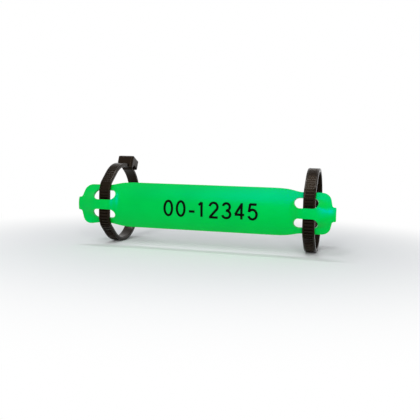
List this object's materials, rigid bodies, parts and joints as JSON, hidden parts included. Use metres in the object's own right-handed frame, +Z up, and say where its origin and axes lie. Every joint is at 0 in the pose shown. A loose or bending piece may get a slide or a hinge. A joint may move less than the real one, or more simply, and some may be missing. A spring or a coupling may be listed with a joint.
{
  "type": "cable marker",
  "caption": "Thin green plastic marker plate bent round a cable and held by black ratchet cable ties threaded through the slots in its ends.",
  "frame": {"origin": "on the axis of the cable, in the middle of the plate", "axes": "+X along the cable, +Z up, the face of the plate looks to -Y"},
  "size_m": [0.0812, 0.0306, 0.0286],
  "materials": {
    "green_plastic": "satin",
    "black_nylon": "gloss"
  },
  "bodies": {
    "root": {"marker_plate": "green_plastic", "left_tie": "black_nylon", "right_tie": "black_nylon"}
  },
  "joints": []
}
